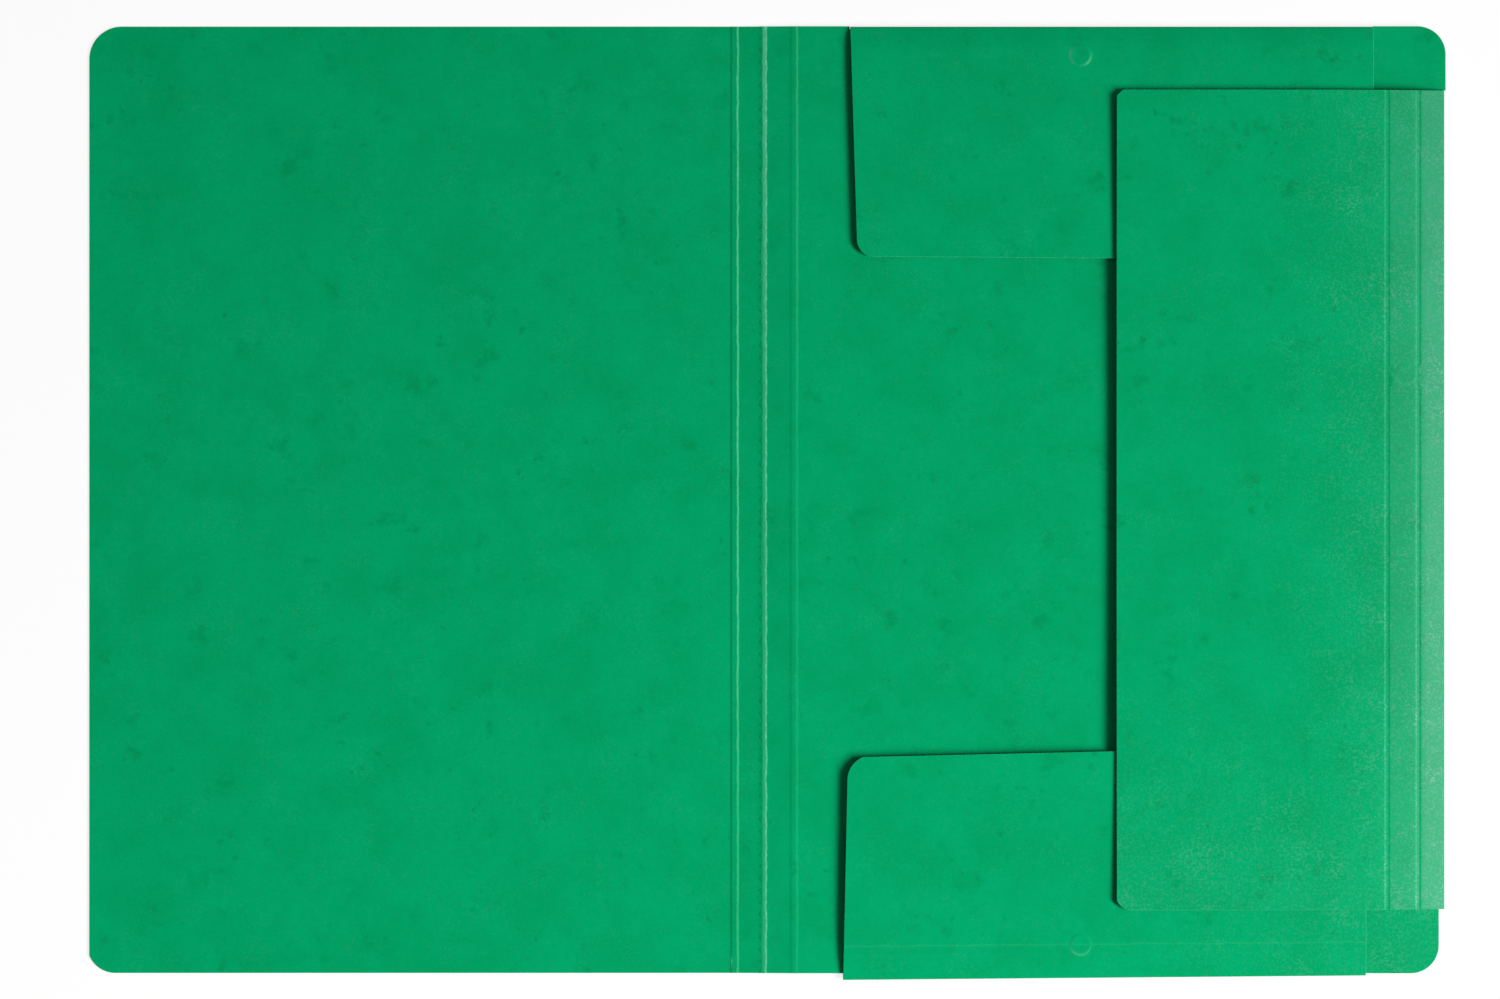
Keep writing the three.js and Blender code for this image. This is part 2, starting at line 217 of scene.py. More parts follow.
def rubbed_and_highlight_group():
    """Where a crease is pale: a thin jagged line along its lit side, partly rubbed wear and partly
    painted highlight, a fainter second one where the board has cracked, and a haze where the dye
    has worn off between them."""
    tree, given, result = new_group(
        "rubbing_and_highlight",
        [("Line", "NodeSocketFloat", 1.0), ("Haze", "NodeSocketFloat", 1.0)],
        [("Amount", "NodeSocketFloat")],
    )
    at = attribute(tree, "blank").outputs["Vector"]
    off = attribute(tree, "off").outputs["Fac"]
    wander = remap(tree, noise(tree, at, 7 * MM, 3.0, 0.7), 0.25, 0.75,
                   -line_wander, line_wander)
    strayed = reckon(tree, "ADD", off, wander)
    # The line on the lamp-facing flank: partly rubbed wear, partly painted highlight.
    first = reckon(tree, "ABSOLUTE", reckon(tree, "SUBTRACT", strayed, lit_flank_line), 0.0)
    first = remap(tree, first, 0.10, 0.42, 1.0, 0.0)
    second = reckon(tree, "ABSOLUTE", reckon(tree, "SUBTRACT", strayed, second_line), 0.0)
    cracked = remap(tree, noise(tree, at, 45 * MM, 1.0, 0.5), 0.50, 0.62, 0.0, 0.7)
    second = reckon(tree, "MULTIPLY", remap(tree, second, 0.05, 0.30, 1.0, 0.0), cracked)
    second = reckon(tree, "MULTIPLY", second, attribute(tree, "haze").outputs["Fac"])
    breaks = remap(tree, noise(tree, at, 2.6 * MM, 4.0, 0.7), 0.32, 0.58, 0.62, 1.0)
    line = reckon(tree, "MULTIPLY", reckon(tree, "MAXIMUM", first, second), breaks)
    line = reckon(tree, "MULTIPLY", line, attribute(tree, "wear_and_highlight").outputs["Fac"])
    line = reckon(tree, "MULTIPLY", line, given.outputs["Line"])
    within = reckon(tree, "ABSOLUTE", reckon(tree, "SUBTRACT", strayed, haze_middle), 0.0)
    within = remap(tree, within, 0.45, 1.0, 1.0, 0.0)
    haze = reckon(tree, "MULTIPLY", within, attribute(tree, "haze").outputs["Fac"])
    haze = reckon(tree, "MULTIPLY", haze, breaks)
    haze = reckon(tree, "MULTIPLY", haze, given.outputs["Haze"])
    tree.links.new(reckon(tree, "MAXIMUM", line, haze), result.inputs["Amount"])
    return tree


marbling = marbled_group()
rubbing_and_highlight = rubbed_and_highlight_group()


def place_group(material, group):
    """A node group set in a material."""
    node = material.node_tree.nodes.new("ShaderNodeGroup")
    node.node_tree = group
    return node


def new_material(name):
    """A material with its Principled shader."""
    material = bpy.data.materials.new(name)
    material.use_nodes = True
    return material, material.node_tree, material.node_tree.nodes["Principled BSDF"]


def roughen(tree, shader, height, strength, distance):
    """A fine relief on a material, from a height that varies over it."""
    bump = tree.nodes.new("ShaderNodeBump")
    bump.inputs["Strength"].default_value = strength
    bump.inputs["Distance"].default_value = distance
    tree.links.new(height, bump.inputs["Height"])
    tree.links.new(bump.outputs["Normal"], shader.inputs["Normal"])


pressboard, tree, shader = new_material("marbled_pressboard")
marble = place_group(pressboard, marbling)
rub_and_highlight = place_group(pressboard, rubbing_and_highlight)
rub_and_highlight.inputs["Line"].default_value = 0.9
rub_and_highlight.inputs["Haze"].default_value = 0.5
cut = attribute(tree, "cut").outputs["Fac"]
colour = tint(tree, cut, marble.outputs["Color"], edge_green)

# Where the board is burnished its glaze is glossier: its specks catch the light first and an even
# sheen follows, as coat weight. The same sheen also tints the base colour greyer: a painted sheen.
burnish_and_sheen = attribute(tree, "burnish_and_sheen").outputs["Fac"]
most = reckon(tree, "SUBTRACT", most_speck, reckon(tree, "MULTIPLY", burnish_and_sheen, speck_loss))
specked = reckon(tree, "MINIMUM", reckon(tree, "MULTIPLY", burnish_and_sheen, speck_onset), most)
specked = reckon(tree, "MULTIPLY", specked, marble.outputs["Speck"])
even = reckon(tree, "MULTIPLY", reckon(tree, "MULTIPLY", burnish_and_sheen, burnish_and_sheen), even_sheen)
sheen = reckon(tree, "ADD", even, specked)
# Painted sheen: the base colour is tinted greyer where the burnished glaze shines.
colour = tint(tree, reckon(tree, "MULTIPLY", sheen, burnish_and_sheen), colour, burnish_and_sheen_green)
# The pale crease lines: rubbed wear, and on each crease's lit flank also painted highlight.
colour = tint(tree, rub_and_highlight.outputs["Amount"], colour, pale_and_highlight_green)
tree.links.new(colour, shader.inputs["Base Color"])
tree.links.new(reckon(tree, "MULTIPLY", sheen, coat_share), shader.inputs["Coat Weight"])
shader.inputs["Coat Roughness"].default_value = glaze_roughness
shader.inputs["Specular IOR Level"].default_value = 0.012
shader.inputs["Roughness"].default_value = glaze_roughness
roughen(tree, shader, marble.outputs["Grain"], grain_strength, grain_height)


def arc_points(centre, radius, start, end, step=0.6 * MM):
    """Points along an arc, its ends included."""
    count = max(3, int(abs(end - start) * radius / step))
    angles = np.linspace(start, end, count + 1)
    return [(centre[0] + radius * math.cos(a), centre[1] + radius * math.sin(a)) for a in angles]


least_share = 0.001
cut_clearance = 0.3


def outline_of(corners, step=2.5 * MM, cuts=()):
    """A closed outline from its corners, anticlockwise: each is x, y, then a radius, a trim and
    whether the trimmed edge comes after it. A trimmed corner's arc meets that edge at an angle.
    The edges also get a point at each x in cuts, so that creases run out cleanly."""
    ring = []
    for i, corner in enumerate(corners):
        at = Vector(corner[:2])
        radius, trim, trim_ahead = (*corner[2:], 0, 0, False)[:3]
        if not radius:
            ring.append(tuple(at))
            continue
        back = (Vector(corners[i - 1][:2]) - at).normalized()
        ahead = (Vector(corners[(i + 1) % len(corners)][:2]) - at).normalized()
        first, second = (back, ahead) if trim_ahead else (ahead, back)
        reach = radius - trim
        centre = at + first * reach + second * radius
        tangent = at + first * reach
        crossing = at + second * (radius - math.sqrt(radius**2 - reach**2))
        begin, finish = (tangent, crossing) if trim_ahead else (crossing, tangent)
        start = math.atan2(begin.y - centre.y, begin.x - centre.x)
        end = math.atan2(finish.y - centre.y, finish.x - centre.x)
        if end < start:
            end += 2 * math.pi
        ring += arc_points(centre, radius, start, end)
    dense = []
    for i, point in enumerate(ring):
        after = ring[(i + 1) % len(ring)]
        length = math.dist(point, after)
        even = np.arange(1, round(length / step)) * step / length
        across = after[0] - point[0]
        cut = np.array([(x - point[0]) / across for x in cuts] if abs(across) > step else [])
        cut = cut[(cut > least_share) & (cut < 1 - least_share)]
        if len(cut):
            even = even[np.abs(even[:, None] - cut).min(1) > cut_clearance * step / abs(across)]
        for share in np.sort(np.concatenate(([0.0], even, cut))):
            dense.append((point[0] + (after[0] - point[0]) * share,
                          point[1] + (after[1] - point[1]) * share))
    return np.array(dense)


def outward(ring):
    """The outward direction at each point of an anticlockwise ring."""
    along_before = ring - np.roll(ring, 1, 0)
    along_after = np.roll(ring, -1, 0) - ring
    normals = []
    for before, after in zip(along_before, along_after):
        before = before / np.hypot(*before)
        after = after / np.hypot(*after)
        middle = np.array((before[1] + after[1], -before[0] - after[0]))
        length = np.hypot(*middle)
        normals.append(middle / max(length**2 / 2, 0.5))
    return np.array(normals)


def inside(points, ring):
    """Which points lie inside a ring."""
    result = np.zeros(len(points), bool)
    for (ax, ay), (bx, by) in zip(ring, np.roll(ring, -1, 0)):
        crosses = (ay > points[:, 1]) != (by > points[:, 1])
        with np.errstate(divide="ignore", invalid="ignore"):
            reach = (bx - ax) * (points[:, 1] - ay) / (by - ay) + ax
        result ^= crosses & (points[:, 0] < reach)
    return result


def near(points, ring, distance):
    """Which points lie close to the points of a ring."""
    result = np.zeros(len(points), bool)
    for at in ring:
        result |= np.abs(points - at).max(1) < distance
    return result


edge_clearance = 0.28 * MM
hole_clearance = 0.25 * MM


def sheet_mesh(name, rings, stations, seams, shape, thickness, round_over, marks):
    """A cut sheet as a mesh. The first ring is its outline and the others are holes in it. Stations
    are the flat places of its inner points, seams tells which ring points meet another sheet, shape
    gives the place and facing of the sheet's middle, and marks gives values kept on its points."""
    holes = rings[1:]
    keep = inside(stations, rings[0]) & ~near(stations, rings[0], edge_clearance)
    for hole in holes:
        keep &= ~inside(stations, hole) & ~near(stations, hole, hole_clearance)
    inner = stations[keep]
    directions = [outward(ring) for ring in rings[:1]] + [-outward(hole) for hole in holes]
    edge = np.concatenate(rings)
    out = np.concatenate(directions)
    free = np.where(seams(edge), 0.0, 1.0)[:, None]
    face_edge = edge - out * round_over * free
    flat = np.concatenate((face_edge, inner))
    lines = []
    start = 0
    for ring in rings:
        count = len(ring)
        lines += [(start + i, start + (i + 1) % count) for i in range(count)]
        start += count
    made = delaunay_2d_cdt(
        [Vector(p) for p in flat], lines, [list(range(len(rings[0])))], 1, 1e-7)
    spots = np.array([tuple(p) for p in made[0]])
    where = {source: i for i, sources in enumerate(made[3]) for source in sources}
    middles = np.array([spots[list(face)].mean(0) for face in made[2]])
    solid = np.ones(len(middles), bool)
    start = len(rings[0])
    for hole in holes:
        solid &= ~inside(middles, face_edge[start:start + len(hole)])
        start += len(hole)
    faces = [face for face, kept in zip(made[2], solid) if kept]
    count = len(spots)
    rim_levels = [(0.30, 0.30), (0.0, 1.0), (0.0, -1.0), (0.30, -0.30)]
    rounds = []
    for inset, drop in rim_levels:
        flat_ring = edge - out * round_over * inset * free
        side = 1 if drop > 0 else -1
        rounds.append((flat_ring, side * (thickness / 2 - round_over * abs(drop))))
    flats = [spots, spots] + [ring for ring, _ in rounds]
    heights = [np.full(count, thickness / 2), np.full(count, -thickness / 2)]
    heights += [np.full(len(edge), level) for _, level in rounds]
    flats = np.concatenate(flats)
    heights = np.concatenate(heights)
    middle, facing = shape(flats[:, 0], flats[:, 1])
    points = middle + facing * heights[:, None]
    polygons = [tuple(face) for face in faces]
    polygons += [tuple(count + i for i in reversed(face)) for face in faces]
    first = 2 * count
    size = len(edge)
    chain = [[where[i] for i in range(size)]]
    chain += [[first + level * size + i for i in range(size)] for level in range(len(rim_levels))]
    chain += [[count + where[i] for i in range(size)]]
    for upper, lower in zip(chain, chain[1:]):
        for a, b in lines:
            polygons.append((upper[b], upper[a], lower[a], lower[b]))
    mesh = bpy.data.meshes.new(name)
    mesh.from_pydata([tuple(p) for p in points], [], polygons)
    mesh.update()
    mesh.polygons.foreach_set("use_smooth", np.ones(len(mesh.polygons), bool))
    rims = {frozenset((ring[a], ring[b])) for ring in (chain[0], chain[-1]) for a, b in lines}
    sharp = mesh.attributes.new("sharp_edge", "BOOLEAN", "EDGE")
    sharp.data.foreach_set(
        "value", np.array([frozenset(line.vertices) in rims for line in mesh.edges], bool))
    blank = mesh.attributes.new("blank", "FLOAT_VECTOR", "POINT")
    blank.data.foreach_set("vector", np.column_stack((flats, heights)).ravel().astype(np.float32))
    cut = np.concatenate((np.zeros(first), np.tile(free[:, 0], len(rim_levels))))
    for label, values in {"cut": cut, **marks(flats[:, 0], flats[:, 1], heights)}.items():
        kept = mesh.attributes.new(label, "FLOAT", "POINT")
        kept.data.foreach_set("value", values.astype(np.float32))
    piece = bpy.data.objects.new(name, mesh)
    scene.collection.objects.link(piece)
    return piece


# Creases are pressed into the blank from its outer face, so each is a round bead on the inner face
# and a groove on the outer one. The covers show their beads, and the folded-in flaps their grooves.
folds = {joint["name"]: Vector(joint["pos_m"]) for joint in frame["joints"]}
back_crease = folds["spine_fold"]
front_crease = folds["front_fold"]
side_fold = folds["side_flap_fold"]
thickness = 0.5 * MM
round_over = 0.10 * MM
crease_flat = 0.55 * MM
crease_reach = 1.65 * MM
crease_rise = 0.25 * MM
fold_radius = 0.5 * MM
fold_outer = fold_radius + thickness / 2
lift = back_crease.z - crease_rise - thickness
board_top = lift + thickness
head = folder_height / 2
tail = -folder_height / 2
left_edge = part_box("front_cover")[0].x
fore_edge = side_fold.x + fold_outer
middle_crease = back_crease.x - 10.45 * MM
across_crease = np.array([0, 0.3, 0.55, 0.7, 0.85, 1.0, 1.15, 1.3, 1.45, 1.65, 2.1, 3.0]) * MM
across_crease = np.unique(np.concatenate((across_crease, -across_crease)))
station_step = 4 * MM
seam_tolerance = 0.01 * MM


def bead(distance):
    """How far a crease stands out of the board, at a distance from its middle."""
    share = np.clip((np.abs(distance) - crease_flat) / (crease_reach - crease_flat), 0, 1)
    return crease_rise * (1 + np.cos(np.pi * share)) / 2


def stations_of(low, high, creases, step):
    """Even stations between two ends, with close ones across each crease."""
    even = np.arange(low, high, step)
    for crease in creases:
        even = even[np.abs(even - crease) > across_crease[-1] + 0.4 * step]
    close = [crease + across_crease for crease in creases]
    found = np.unique(np.concatenate([even, *close]))
    return found[(found > low) & (found < high)]


def grid(xs, ys):
    """Every crossing of two sets of stations."""
    x, y = np.meshgrid(xs, ys)
    return np.column_stack((x.ravel(), y.ravel()))


def facing_of(place, x, y):
    """The direction that the inner face of a shaped sheet faces, found from nearby places."""
    step = 0.02 * MM
    along_x = place(x + step, y) - place(x - step, y)
    along_y = place(x, y + step) - place(x, y - step)
    facing = np.cross(along_x, along_y)
    return facing / np.linalg.norm(facing, axis=1)[:, None]


def shaped(place):
    """The place and the facing of a sheet's middle, for a sheet whose places a function gives."""
    return lambda x, y: (place(x, y), facing_of(place, x, y))


ripple_height = 0.06 * MM


def ripple(x, y):
    """The slight unevenness of board that has lain about, always upwards."""
    wave = np.sin(x / (61 * MM) + 1.3) * np.sin(y / (83 * MM) + 0.4)
    wave += 0.6 * np.sin(x / (29 * MM) - y / (47 * MM))
    return ripple_height * (wave + 1.6)


crease_mark_reach = 2.2 * MM


def near_crease(distance):
    """A distance from a crease in millimetres, held within the reach of its wear and painted
    highlight.
    """
    return np.clip(distance / MM, -3, 3)


# Front cover and the near half of the spine: one stretch of the board as far as the worn middle
# crease. The crease beside the cover is rubbed to a thin pale line that softens towards the tail;
# the line lies on the crease's lit flank and is partly a painted highlight.
def front_place(x, y):
    """Where the middle of the front board lies: flat, then rising along the spine."""
    along = np.clip((x - front_crease.x) / (back_crease.x - front_crease.x), 0, 1)
    rise = sum(bead(x - crease) for crease in (front_crease.x, middle_crease))
    flat = np.clip((front_crease.x - x) / (20 * MM), 0, 1)
    z = thickness / 2 + lift * along + rise + ripple(x, y) * flat
    return np.column_stack((x, y, z))


nick_y = tail + 4 * MM
nick_off = -0.92 * MM
wear_fade = 130 * MM


def spine_marks(x, y, height):
    """The pale lines of the spine's creases, each on its crease's lit flank and so partly rubbed
    wear
    and partly painted highlight: a thin line beside the front cover, a worn middle one that is
    cracked pale towards the head, and a faint one beside the back cover. A nick shows beside the
    first one, close to the tail."""
    creases = np.array([front_crease.x, middle_crease, back_crease.x])
    away = x[:, None] - creases
    nearest = np.abs(away).argmin(1)
    off = np.take_along_axis(away, nearest[:, None], 1)[:, 0]
    low = np.clip((y - tail) / wear_fade, 0.4, 1)
    high = np.clip((y - 20 * MM) / wear_fade, 0, 1)
    wear_and_highlight = np.choose(nearest, [0.62 * low, 0.85 + 0.15 * high, 0.06 + 0.24 * high])
    haze = np.choose(nearest, [0 * y, 0.25 + 0.75 * high, 0 * y])
    shown = (np.abs(off) < crease_mark_reach) & (height > 0)
    nick = (np.abs(off - nick_off) < 0.1 * MM) & (nearest == 0) & (np.abs(y - nick_y) < 1 * MM)
    off = np.where(nick, haze_middle * MM, off)
    haze = np.where(nick, 2.0, haze)
    return {"off": near_crease(off), "wear_and_highlight": wear_and_highlight * shown, "haze": haze * shown,
            "burnish_and_sheen": 0 * x}


corner_radius = 9.5 * MM
head_left_radius = 11 * MM
corner_trim = 0.7 * MM
spine_cuts = np.concatenate(
    [crease + across_crease for crease in (front_crease.x, middle_crease, back_crease.x)])
front_outline = outline_of([
    (left_edge, tail, corner_radius, corner_trim),
    (middle_crease, tail),
    (middle_crease, head),
    (left_edge, head, head_left_radius),
], cuts=spine_cuts)
front_stations = grid(
    stations_of(left_edge, middle_crease, [front_crease.x, middle_crease], station_step),
    stations_of(tail, head, [], station_step))
front_board = sheet_mesh(
    "front_board", [front_outline], front_stations,
    lambda p: p[:, 0] > middle_crease - seam_tolerance,
    shaped(front_place), thickness, round_over, spine_marks)
front_board.data.materials.append(pressboard)
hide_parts("front_cover")
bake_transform(front_board)


# Back cover: the far half of the spine, the cover and both end flaps, all one stretch of the blank.
# The flaps fold in over the cover. They spring up from their folds to their crease and level out.
slit = 0.12 * MM


class EndFlap:
    """A flap at the head (side 1) or tail (side -1): where it starts and ends along the cover, how
    deep it is at both ends, and how it leans, turns, springs up and is creased."""

    def __init__(self, side, from_spine, from_fore_edge, depths, taper, turn, overhang,
                 crease_at, crease_depth, level, reach, radius, trim):
        self.side = side
        self.start = back_crease.x + from_spine
        self.end = fore_edge - from_fore_edge
        self.depths = depths
        self.taper = taper
        self.turn = math.radians(turn)
        self.edge = head + overhang
        self.crease_at = crease_at
        self.crease_depth = crease_depth
        self.level = level
        self.reach = reach
        self.radius = radius
        self.trim = trim
        self.middle = ((self.start + self.end) / 2, side * self.edge)

    def turned(self, x, y, angle):
        """Places turned about the middle of the flap's fold."""
        dx, dy = x - self.middle[0], y - self.middle[1]
        cos, sin = math.cos(angle), math.sin(angle)
        return self.middle[0] + dx * cos - dy * sin, self.middle[1] + dx * sin + dy * cos

    def blank(self, x, depth):
        """Where a place on the flap, at a depth in from its fold, lies on the flat blank."""
        out = self.edge + depth - 2 * fold_outer + math.pi * fold_radius
        return self.turned(x, self.side * out, self.turn)

    def place(self, x, y):
        """Which flat places are on the flap or its fold, and where they lie once it is folded."""
        along, out = self.turned(x, y, -self.turn)
        past = self.side * out - (self.edge - fold_outer)
        on = (past > 0) & (along > self.start - slit / 2) & (along < self.end + slit / 2)
        angle = np.clip(past / fold_radius, 0, np.pi)
        depth = np.maximum(past - math.pi * fold_radius, 0) + fold_outer
        sprung = 2 * fold_radius + (self.level - 2 * fold_radius) * (
            1 - np.exp(-(depth - fold_outer) / self.reach))
        on_round = past < math.pi * fold_radius
        reach = np.where(on_round, self.edge - fold_outer + fold_radius * np.sin(angle),
                         self.edge - depth)
        z = np.where(on_round, lift + thickness / 2 + fold_radius * (1 - np.cos(angle)),
                     board_top + sprung - thickness / 2
                     - self.crease_depth * bead(depth - self.crease_at))
        px, py = self.turned(along, self.side * reach, self.turn)
        return on, px, py, z, depth


head_flap = EndFlap(
    side=1, from_spine=18.95 * MM, from_fore_edge=24.15 * MM, depths=(77.6 * MM, 79 * MM),
    taper=2.4 * MM, turn=0, overhang=-0.2 * MM, crease_at=10.5 * MM, crease_depth=0.10,
    level=2.4 * MM, reach=2.9 * MM, radius=6 * MM, trim=0.2 * MM)
tail_flap = EndFlap(
    side=-1, from_spine=16.55 * MM, from_fore_edge=26.55 * MM, depths=(75.2 * MM, 77.9 * MM),
    taper=2.2 * MM, turn=0.49, overhang=1.45 * MM, crease_at=11 * MM, crease_depth=0.18,
    level=3 * MM, reach=9 * MM, radius=8.5 * MM, trim=0.7 * MM)

eyelet_nodes = [name for name in frame["nodes"] if name.startswith("eyelet_")]
eyelet_spots = {}
for name in eyelet_nodes:
    low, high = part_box(name)
    eyelet_spots[name] = (low + high) / 2
eyelet_hole = 2.2 * MM
imprint_radius = 3.5 * MM
imprint_height = 0.1 * MM
dish_radius = 2.0 * MM
least_rim = 0.02


def imprint(x, y, spot, strength=1.0):
    """The low ring that an eyelet has pressed through the flap lying on it."""
    away = np.hypot(x - spot.x, y - spot.y)
    disc = 0.5 - 0.5 * np.tanh((away - imprint_radius) / (0.25 * MM))
    dish = np.exp(-((away / dish_radius) ** 2))
    return strength * imprint_height * (disc - 0.6 * dish)


def imprint_wear(x, y, spot, *arcs):
    """The rubbed parts of an imprint's rim. Each arc is its middle and width in degrees, and its
    strength."""
    away = np.hypot(x - spot.x, y - spot.y)
    angle = np.arctan2(y - spot.y, x - spot.x)
    rim = np.exp(-(((away - imprint_radius) / (0.35 * MM)) ** 2))
    turns = [strength * np.exp(-((np.angle(np.exp(1j * (angle - math.radians(middle))))
                                  / math.radians(width)) ** 2))
             for middle, width, strength in arcs]
    return rim * np.max(turns, axis=0)


def back_place(x, y):
    """Where the middle of the back board lies, its folded end flaps included."""
    along = np.clip((x - front_crease.x) / (back_crease.x - front_crease.x), 0, 1)
    rise = bead(x - middle_crease) + 0.4 * bead(x - back_crease.x)
    z = thickness / 2 + lift * along + rise
    px, py = np.array(x, float), np.array(y, float)
    for flap, node, strength in ((head_flap, "eyelet_upper_edge", 1.8),
                                 (tail_flap, "eyelet_lower_edge", 1.4)):
        on, fx, fy, fz, depth = flap.place(x, y)
        pressed = imprint(fx, fy, eyelet_spots[node], strength)
        fz = fz + np.where(depth > 2 * fold_outer, pressed, 0)
        px, py, z = np.where(on, fx, px), np.where(on, fy, py), np.where(on, fz, z)
    return np.column_stack((px, py, z))


haze_shift = 0.5 * MM


def back_marks(x, y, height):
    """The spine's marks, the tail flap's crease line (partly wear, partly painted highlight), the
    imprints' rubbed rims, and the burnished tail, which also carries a painted sheen.
    """
    marks = spine_marks(x, y, height)
    # The tail flap's crease line lies on its lit wall: faint wear and partly painted highlight.
    for flap, rubbed_and_highlight in ((head_flap, 0.0), (tail_flap, 0.07)):
        on, fx, fy, fz, depth = flap.place(x, y)
        from_crease = depth - flap.crease_at
        shown = on & (height < 0) & (np.abs(from_crease) < crease_mark_reach)
        marks["off"] = np.where(shown, near_crease(from_crease + haze_shift), marks["off"])
        marks["wear_and_highlight"] = np.where(shown, rubbed_and_highlight, marks["wear_and_highlight"])
    px, py, pz = back_place(x, y).T
    rims = imprint_wear(px, py, eyelet_spots["eyelet_upper_edge"], (180, 50, 0.9), (-40, 35, 1.1))
    rims += imprint_wear(px, py, eyelet_spots["eyelet_lower_edge"], (-100, 60, 0.8))
    rims *= pz > board_top + thickness
    marks["off"] = np.where(rims > least_rim, haze_middle, marks["off"])
    marks["haze"] = np.where(rims > least_rim, rims, marks["haze"])
    # Burnished towards the tail near the fore edge: glossier glaze and a painted sheen in the
    # colour.
    low = np.clip((-100 * MM - py) / (40 * MM), 0, 1)
    marks["burnish_and_sheen"] = 0.30 * low * np.clip((px - 120 * MM) / (100 * MM), 0, 1)
    return marks


def flap_stations(flap):
    """Stations down an end flap, from the start of its fold to its free edge, as flat distances."""
    on_fold = np.linspace(0, math.pi * fold_radius, 9)
    depths = stations_of(fold_outer, max(flap.depths), [flap.crease_at], station_step)
    return np.concatenate((on_fold, depths - fold_outer + math.pi * fold_radius))


def flap_outline(flap):
    """The blank's outline round an end flap, anticlockwise, from where it leaves the cover."""
    near_end, far_end = flap.depths
    root = fold_outer - math.pi * fold_radius
    depths = root + flap_stations(flap)[1:]
    depths = depths[depths < min(flap.depths) - flap.radius - 1 * MM]
    rounding = (flap.radius, flap.trim)
    lean = flap.taper / (near_end - root)
    corners = [
        flap.blank(flap.start, root),
        *[flap.blank(flap.start + lean * (depth - root), depth) for depth in depths],
        (*flap.blank(flap.start + flap.taper, near_end), *rounding, flap.side < 0),
        (*flap.blank(flap.end, far_end), *rounding, flap.side > 0),
        *[flap.blank(flap.end, depth) for depth in depths[::-1]],
        flap.blank(flap.end, root),
    ]
    return corners if flap.side < 0 else corners[::-1]


head_x = fore_edge + 0.5 * MM
tail_x = fore_edge - 1.8 * MM
side_flap_half = 138.2 * MM
side_seam = fore_edge - 11 * MM
notch = side_flap_half + 0.06 * MM
back_outline = outline_of([
    (middle_crease, tail),
    (tail_flap.start, tail),
    *flap_outline(tail_flap)[1:-1],
    (tail_flap.end, tail),
    (tail_x, tail, corner_radius),
    (tail_x, -notch),
    (side_seam, -notch),
    (side_seam, notch),
    (head_x, notch),
    (head_x, head, corner_radius),
    (head_flap.end + slit, head),
    (head_flap.end + slit, head_flap.edge - fold_outer),
    *flap_outline(head_flap),
    (head_flap.start - slit, head_flap.edge - fold_outer),
    (head_flap.start - slit, head),
    (middle_crease, head),
], cuts=spine_cuts)


def ring_stations(spot):
    """Close stations round an eyelet, for its hole or its imprint."""
    radii = np.array([2.6, 3.0, 3.3, 3.5, 3.7, 4.1]) * MM
    angles = np.linspace(0, 2 * math.pi, 32, endpoint=False)
    return np.array([(spot[0] + r * math.cos(a), spot[1] + r * math.sin(a))
                     for r in radii for a in angles])


def imprint_stations(spot):
    """Close stations for an imprint, its middle included."""
    radii = np.array([0.6, 1.2, 1.8]) * MM
    angles = np.linspace(0, 2 * math.pi, 12, endpoint=False)
    middle = np.array([(spot[0] + r * math.cos(a), spot[1] + r * math.sin(a))
                       for r in radii for a in angles])
    return np.concatenate((middle, ring_stations(spot)))


back_xs = stations_of(middle_crease, head_x, [middle_crease, back_crease.x], station_step)
back_parts = [grid(back_xs, stations_of(tail, head - 1 * MM, [], station_step))]
for flap, node in ((head_flap, "eyelet_upper_edge"), (tail_flap, "eyelet_lower_edge")):
    xs = np.arange(flap.start + 1 * MM, flap.end, station_step)
    outs = flap.side * (flap.edge - fold_outer + flap_stations(flap))
    flat = grid(xs, outs)
    x, y = flap.turned(flat[:, 0], flat[:, 1], flap.turn)
    spot = eyelet_spots[node]
    back_parts.append(np.column_stack((x, y)))
    back_parts.append(imprint_stations(flap.blank(spot.x, flap.edge - flap.side * spot.y)))
holes = []
for spot in eyelet_spots.values():
    circle = arc_points((spot.x, spot.y), eyelet_hole, 0, 2 * math.pi, 0.5 * MM)[:-1]
    holes.append(np.array(circle))
    back_parts.append(ring_stations((spot.x, spot.y)))


def back_seams(p):
    """Which outline points lie on the middle crease or under the side flap's fold."""
    beside_spine = p[:, 0] < middle_crease + seam_tolerance
    beside_flap = np.abs(p[:, 0] - side_seam) < seam_tolerance
    beside_flap &= np.abs(p[:, 1]) < notch - seam_tolerance
    return beside_spine | beside_flap


back_board = sheet_mesh(
    "back_board", [back_outline, *holes], np.concatenate(back_parts), back_seams,
    shaped(back_place), thickness, round_over, back_marks)
back_board.data.materials.append(pressboard)
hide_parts("spine", "back_cover")
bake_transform(back_board)


# Side flap: folded over both end flaps, with two creases near its fold for a thicker filling.
# Its free edge bows up where it lies on them, and sags between them.
flap_depth = 111 * MM
flap_creases = (9.2 * MM, 19.8 * MM)
flap_level = 3.5 * MM
flap_end_lift = 1.4 * MM
flap_reach = 7 * MM
fold_start = fore_edge - fold_outer
groove_narrowing = 1.5


